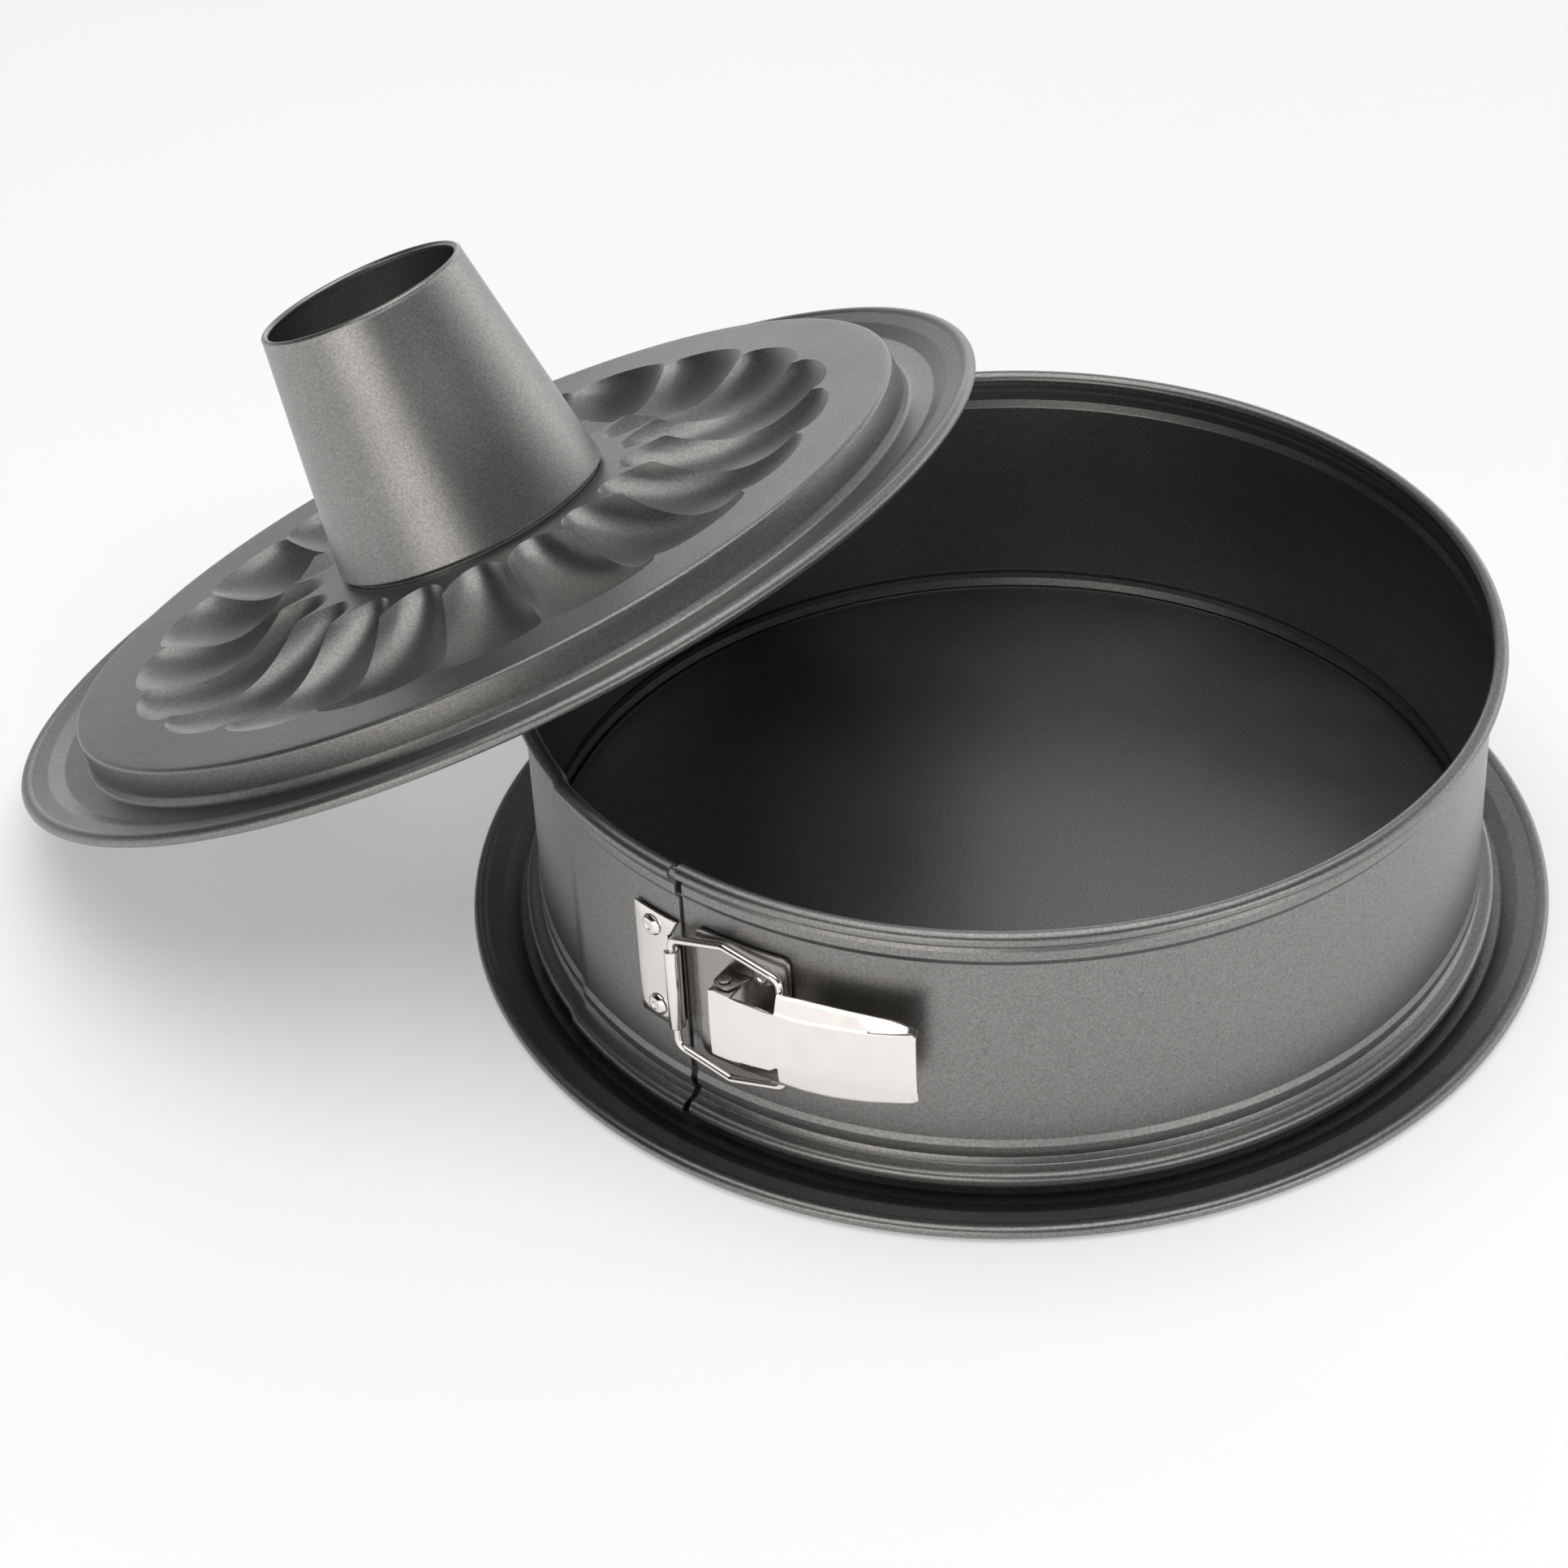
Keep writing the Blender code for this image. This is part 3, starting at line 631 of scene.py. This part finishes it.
def rivet(name, finish, azimuth, height, wall, body, node):
    """A domed rivet head with a shallow dimple, on a short shank."""
    head = bent_line([
        (0.0, 1.0, 0.0), (0.9, 1.02, 0.4), (1.3, 1.3, 0.4), (2.3, 1.15, 0.9), (3.15, 0.35, 0.4),
        (3.2, 0.0, 0.0), (1.6, -0.02, 0.0), (1.6, -1.6, 0.0), (0.0, -1.6, 0.0),
    ], steps=4)
    obj = turn_round(name, head, steps=40, thickness=None)
    down = Matrix.Translation((0, 0, -TABLE))
    tip = Matrix.Rotation(math.radians(90), 4, "Y")
    swing = Matrix.Rotation(math.radians(azimuth), 4, "Z")
    there = Matrix.Translation(polar(wall, azimuth, height))
    object_mode()
    obj.data.transform(there @ swing @ tip @ down)
    return complete(obj, finish, body, node, smooth_deg=50)


def rivets(finish):
    azimuth, middle, spread = STRIKE_RIVETS
    outer = STRIKE_WALL + STRIKE_SHEET / 2 + 0.05
    for place, sign in (("upper", 1), ("lower", -1)):
        rivet(f"finished_strike_rivet_{place}", finish, azimuth, middle + sign * spread, outer,
              "ring_left", f"strike_rivet_{place}")
    azimuth, middle, spread = BRACKET_RIVETS
    outer = BRACKET_WALL + 0.55
    for place, sign in (("upper", 1), ("lower", -1)):
        rivet(f"finished_bracket_rivet_{place}", finish, azimuth, middle + sign * spread, outer,
              "ring_right", f"bracket_rivet_{place}")


def lever_bracket(finish):
    """A riveted plate with round corners and two ears, one over and one under the lever."""
    columns = [
        BRACKET_START + BRACKET_DEG * k / BRACKET_COLUMNS for k in range(BRACKET_COLUMNS + 1)
    ]
    plan = [(BRACKET_WALL, azimuth) for azimuth in columns]
    obj = sheet_between("finished_lever_bracket", plan, BRACKET_HEIGHTS)
    corners = [(a, z) for a in (columns[0], columns[-1]) for z in (BRACKET_HEIGHTS[0], BRACKET_HEIGHTS[-1])]
    select_by(obj, "VERT", lambda p: any(near(p, BRACKET_WALL, a, z, z) for a, z in corners))
    bpy.ops.mesh.bevel(offset=BRACKET_CORNER * MM, segments=5, affect="VERTICES")
    thicken(obj, BRACKET_SHEET)
    round_edges(obj, 0.25)
    ears = [bracket_ear(sign) for sign in (-1, 1)]
    make_active(obj)
    for ear in ears:
        ear.select_set(True)
    bpy.ops.object.join()
    return complete(obj, finish, "ring_right", "lever_bracket", smooth_deg=50)


def lever_axis():
    """A point on the pin's axis at table height, and its azimuth."""
    spot = Vector(JOINTS["lever_swing"]["pos_m"])
    return Vector((spot.x, spot.y, TABLE)), math.degrees(math.atan2(spot.y, spot.x))


def bracket_ear(sign):
    """A level ear with a rounded arch, drawn along the wall (u) and outwards (v) from the pin."""
    pivot, azimuth = lever_axis()
    out = (polar(1.0, azimuth) - polar(0.0, azimuth)) / MM
    along = (polar(1.0, azimuth + 90) - polar(0.0, azimuth)) / MM
    plan = bent_line([
        (-2.7, -4.9, 0.0), (-2.7, 2.5, 4.2), (2.6, 2.5, 2.4), (5.6, -4.9, 0.0), (-2.7, -4.9, 0.0),
    ], steps=8)
    low = Vector((0, 0, (LATCH_HEIGHT + sign * EAR_SPREAD - BRACKET_SHEET / 2) * MM))
    points = [pivot + (along * u + out * v) * MM + low for u, v in plan]
    obj = draw_line("bracket_ear", points)
    weld()
    bpy.ops.mesh.edge_face_add()
    bpy.ops.mesh.extrude_region_move(TRANSFORM_OT_translate={"value": (0, 0, BRACKET_SHEET * MM)})
    face_outwards()
    round_edges(obj, 0.25)
    return obj


def between(stations, place):
    """The values of a table at a place, with the first column as the place."""
    k = 0
    while k < len(stations) - 2 and place > stations[k + 1][0]:
        k += 1
    a, b = stations[k], stations[k + 1]
    t = min(1.0, max(0.0, (place - a[0]) / (b[0] - a[0])))
    return [a[i] + (b[i] - a[i]) * t for i in range(1, len(a))]


def lever_shape(place, across):
    """Radius and height of the lever's sheet: place is an azimuth, across runs from -3 to 3."""
    inner = min(abs(across), 1.0)
    crown = 0.3 * (1 - inner ** 2)
    if place < 245.3:
        crease = between(LEVER_ARMS, place)[0 if across > 0 else 1]
        wing = max(0.0, abs(across) - 1.0) / 2
        return LEVER_FACE + crown - 5.4 * wing, math.copysign(crease * inner, across)
    upper, lower, upper_edge, lower_edge, depth = between(LEVER_WINGS, place)
    crease, edge = (upper, upper_edge) if across > 0 else (lower, lower_edge)
    step = min(1.0, max(0.0, abs(across) - 1.0) / 0.08)
    wing = max(0.0, abs(across) - 1.08) / 1.92
    lean_in = depth if across > 0 else 0.5 * depth
    radius = LEVER_FACE + crown - CREASE_STEP * step - lean_in * wing
    fold = 0.15 if across > 0 else 0.4
    height = crease * inner + fold * step + (edge - crease - fold) * wing
    return radius, math.copysign(height, across)


def latch_lever(finish):
    """The pressed handle: a slightly crowned face, ears on the pin, a window, and sloping wings."""
    azimuths = [237.6, 237.9, 238.4, 239.0, 239.6, 240.2, 241.2, 242.4, 243.6, 244.6, 245.32, 245.4]
    azimuths += [245.9 + 0.6 * k for k in range(23)] + [259.6, 259.95, 260.2, 260.4, 260.6]
    across = [-3.0, -2.5, -2.0, -1.5, -1.2, -1.08, -1.0, -0.95, -0.75, -0.5, -0.25, 0.0]
    across += [-a for a in reversed(across[:-1])]
    clear_selection()
    bpy.ops.mesh.primitive_grid_add(
        x_subdivisions=len(azimuths) - 1, y_subdivisions=len(across) - 1, size=2.0, location=(0, 0, 0)
    )
    obj = named("finished_latch_lever")

    def spot(point):
        column = round((point.x + 1) / 2 * (len(azimuths) - 1))
        row = round((point.y + 1) / 2 * (len(across) - 1))
        return azimuths[column], across[row]

    def placed(point):
        azimuth, row = spot(point)
        radius, height = lever_shape(azimuth, row)
        return polar(radius, azimuth, LATCH_HEIGHT + height)

    def in_window(point):
        reach = 2.0 * (azimuths.index(245.32) / (len(azimuths) - 1)) - 1
        start = 2.0 * (azimuths.index(240.2) / (len(azimuths) - 1)) - 1
        edge = 1.0 - 2.0 * across.index(-1.0) / (len(across) - 1)
        return start < point.x < reach + 0.02 and abs(point.y) > edge

    select_by(obj, "FACE", in_window)
    bpy.ops.mesh.delete(type="FACE")
    shift_points(obj, placed)
    thicken(obj, LEVER_SHEET)
    round_edges(obj, 0.22, angle_deg=50)
    return complete(obj, finish, "lever", "latch_lever", smooth_deg=55)


def lever_pin(finish):
    """The pin with a low head over each ear."""
    top = EAR_SPREAD + 0.85
    profile = bent_line([
        (0.0, -top - 0.5, 0.0), (1.6, -top - 0.5, 0.3), (1.75, -top, 0.1), (1.1, -top, 0.0),
        (1.1, top, 0.0), (1.75, top, 0.1), (1.6, top + 0.5, 0.3), (0.0, top + 0.5, 0.0),
    ], steps=3)
    obj = turn_round("finished_lever_pin", profile, steps=32, thickness=None)
    pivot, _ = lever_axis()
    object_mode()
    obj.data.transform(Matrix.Translation(pivot + Vector((0, 0, LATCH_HEIGHT * MM - TABLE))))
    return complete(obj, finish, "ring_right", "lever_pin", smooth_deg=50)


def bail_wire(finish):
    """The bent wire: a bar in the hook, two spread arms, and feet turned in behind the lever."""
    bar = bail_bar()
    knee = polar(*WIRE_KNEE)
    foot = polar(*WIRE_FOOT)
    upper = [(foot, 7.5), (foot, 17.2), (knee, 20.5), (bar, 15.6)]
    lower = [(bar, -19.8), (knee, -23.6), (foot, -18.2), (foot, -7.5)]
    corners = [spot + Vector((0, 0, (LATCH_HEIGHT + z) * MM)) for spot, z in upper + lower]
    bpy.ops.curve.primitive_bezier_curve_add(location=(0, 0, 0))
    obj = named("finished_bail_wire")
    curve = obj.data
    curve.splines.clear()
    curve.dimensions = "3D"
    curve.bevel_depth = WIRE * MM
    curve.bevel_resolution = 5
    curve.use_fill_caps = True
    route = smooth_bends(corners, WIRE_BEND * MM, 8)
    spline = curve.splines.new("POLY")
    spline.points.add(len(route) - 1)
    for spot, point in zip(spline.points, route):
        spot.co = (*point, 1.0)
    make_active(obj)
    bpy.ops.object.convert(target="MESH")
    obj = bpy.context.object
    edit_mode()
    weld()
    return complete(obj, finish, "bail", "bail_wire", smooth_deg=60)


def smooth_bends(corners, radius, steps):
    """A route in space through corners, each inner corner rounded off."""
    route = [corners[0]]
    for before, corner, after in zip(corners, corners[1:], corners[2:]):
        a = (before - corner).normalized()
        b = (after - corner).normalized()
        reach = 0.46 * min((before - corner).length, (after - corner).length)
        cut = min(radius / math.tan(a.angle(b) / 2), reach)
        for k in range(steps + 1):
            t = k / steps
            route.append(corner + a * cut * (1 - t) ** 2 + b * cut * t ** 2)
    route.append(corners[-1])
    return route


# Stage

STUDIO_WIDTH = 14.0  # metres
FLOOR_DROP = 0.0002  # keeps the studio floor off the trays' undersides
# Brightness of the sky by height, behind the pan and in front of it
SKY_BEHIND = [(0.0, 2.5), (0.12, 1.7), (0.35, 0.68), (0.65, 0.45), (1.0, 0.2)]
SKY_FRONT = [(0.0, 0.9), (0.15, 0.4), (0.32, 0.1), (0.6, 0.03), (1.0, 0.2)]
CAMERA_SPOT = (0.0, -0.86533, 0.68002)  # metres, with the height counted from the table
CAMERA_PITCH, CAMERA_YAW, CAMERA_ROLL = 0.641034, -0.0717588, -0.0555999  # radians
CAMERA_LENS = 88.405


def floor():
    clear_selection()
    bpy.ops.mesh.primitive_plane_add(size=STUDIO_WIDTH, location=(0, 0, TABLE - FLOOR_DROP))
    obj = named("studio_floor")
    mat = bpy.data.materials.new("pale_floor")
    mat.use_nodes = True
    shader = mat.node_tree.nodes["Principled BSDF"]
    shader.inputs["Base Color"].default_value = (0.93, 0.93, 0.93, 1.0)
    shader.inputs["Roughness"].default_value = 0.9
    shader.inputs["Specular IOR Level"].default_value = 0.1
    shader.inputs["Emission Color"].default_value = (1.0, 1.0, 1.0, 1.0)
    shader.inputs["Emission Strength"].default_value = 0.32
    obj.data.materials.append(mat)


def softbox(name, spot, target, width, height, power, colour=(1.0, 1.0, 1.0)):
    light = bpy.data.lights.new(name, "AREA")
    light.shape = "RECTANGLE"
    light.size = width
    light.size_y = height
    light.energy = power
    light.color = colour
    obj = bpy.data.objects.new(name, light)
    bpy.context.scene.collection.objects.link(obj)
    obj.location = spot
    obj.rotation_mode = "QUATERNION"
    obj.rotation_quaternion = (Vector(target) - Vector(spot)).to_track_quat("-Z", "Y")
    return obj


def sky_ramp(nodes, links, height, stops):
    """Brightness of the sky by height, from stops of (height, level)."""
    ramp = nodes.new("ShaderNodeValToRGB")
    elements = ramp.color_ramp.elements
    elements[0].position, elements[1].position = stops[0][0], stops[-1][0]
    elements[0].color = (*[stops[0][1]] * 3, 1.0)
    elements[1].color = (*[stops[-1][1]] * 3, 1.0)
    for position, level in stops[1:-1]:
        elements.new(position).color = (level, level, level, 1.0)
    links.new(height, ramp.inputs["Fac"])
    return ramp


def sky_step(nodes, links, along, start, end, low, high):
    """A smooth step of the sky's brightness from one side to the other."""
    step = nodes.new("ShaderNodeMapRange")
    step.interpolation_type = "SMOOTHSTEP"
    step.inputs["From Min"].default_value = start
    step.inputs["From Max"].default_value = end
    step.inputs["To Min"].default_value = low
    step.inputs["To Max"].default_value = high
    links.new(along, step.inputs["Value"])
    return step.outputs["Result"]


def studio_light():
    """A soft white surround: bright low down and behind, dim in front and overhead."""
    world = bpy.data.worlds.new("studio")
    bpy.context.scene.world = world
    world.use_nodes = True
    nodes, links = world.node_tree.nodes, world.node_tree.links
    back = nodes["Background"]
    place = nodes.new("ShaderNodeTexCoord")
    split = nodes.new("ShaderNodeSeparateXYZ")
    links.new(place.outputs["Generated"], split.inputs["Vector"])
    height = split.outputs["Z"]
    behind = sky_ramp(nodes, links, height, SKY_BEHIND)
    front = sky_ramp(nodes, links, height, SKY_FRONT)
    side = sky_step(nodes, links, split.outputs["Y"], -0.35, 0.45, 0.0, 1.0)
    blend = nodes.new("ShaderNodeMix")
    blend.data_type = "RGBA"
    links.new(side, blend.inputs[0])
    links.new(front.outputs["Color"], blend.inputs[6])
    links.new(behind.outputs["Color"], blend.inputs[7])
    links.new(blend.outputs[2], back.inputs["Color"])
    links.new(sky_step(nodes, links, split.outputs["X"], -0.44, -0.2, 0.15, 1.0), back.inputs["Strength"])
    softbox("top_softbox", (0.0, -0.1, 2.0), (0, 0, 0), 2.4, 2.4, 27.0)
    softbox("low_softbox", (-0.8, -1.7, 0.42), (-0.1, 0, 0.08), 1.5, 0.7, 6.5, (1.0, 0.985, 0.96))
    softbox("right_softbox", (1.5, -1.6, 0.25), (-0.1, 0, 0.1), 1.3, 0.4, 5.0)
    bpy.context.scene.view_settings.view_transform = "Standard"


def camera():
    """Looks down on the pan from the front, a little turned and tilted."""
    pitch, yaw, roll = CAMERA_PITCH, CAMERA_YAW, CAMERA_ROLL
    ahead = math.cos(pitch)
    forward = Vector((math.sin(yaw) * ahead, math.cos(yaw) * ahead, -math.sin(pitch)))
    level = Vector((math.cos(yaw), -math.sin(yaw), 0.0))
    rise = level.cross(forward)
    right = math.cos(roll) * level + math.sin(roll) * rise
    up = -math.sin(roll) * level + math.cos(roll) * rise
    turn = Matrix((right, up, -forward)).transposed()
    data = bpy.data.cameras.new("camera")
    data.sensor_width = 36.0
    data.lens = CAMERA_LENS
    data.clip_start = 0.05
    obj = bpy.data.objects.new("camera", data)
    bpy.context.scene.collection.objects.link(obj)
    spot = Vector(CAMERA_SPOT) + Vector((0.0, 0.0, TABLE))
    obj.matrix_world = Matrix.Translation(spot) @ turn.to_4x4()
    bpy.context.scene.camera = obj


def build():
    flat_base()
    ring = coated_steel("coating_ring")
    ring_left(ring)
    ring_right(ring)
    ring_back(ring)
    ring_tongue(ring)
    bright = nickel("nickel_bright")
    # A darker copy of the bright nickel: painted shade on the bracket and on the lever's pin.
    shaded = nickel("nickel_painted_shade", 0.26, 0.42)
    strike_plate(bright)
    rivets(bright)
    lever_bracket(shaded)
    latch_lever(bright)
    lever_pin(shaded)
    bail_wire(bright)
    tube_base_plate()
    tube_cone()
    floor()
    studio_light()
    camera()


build()
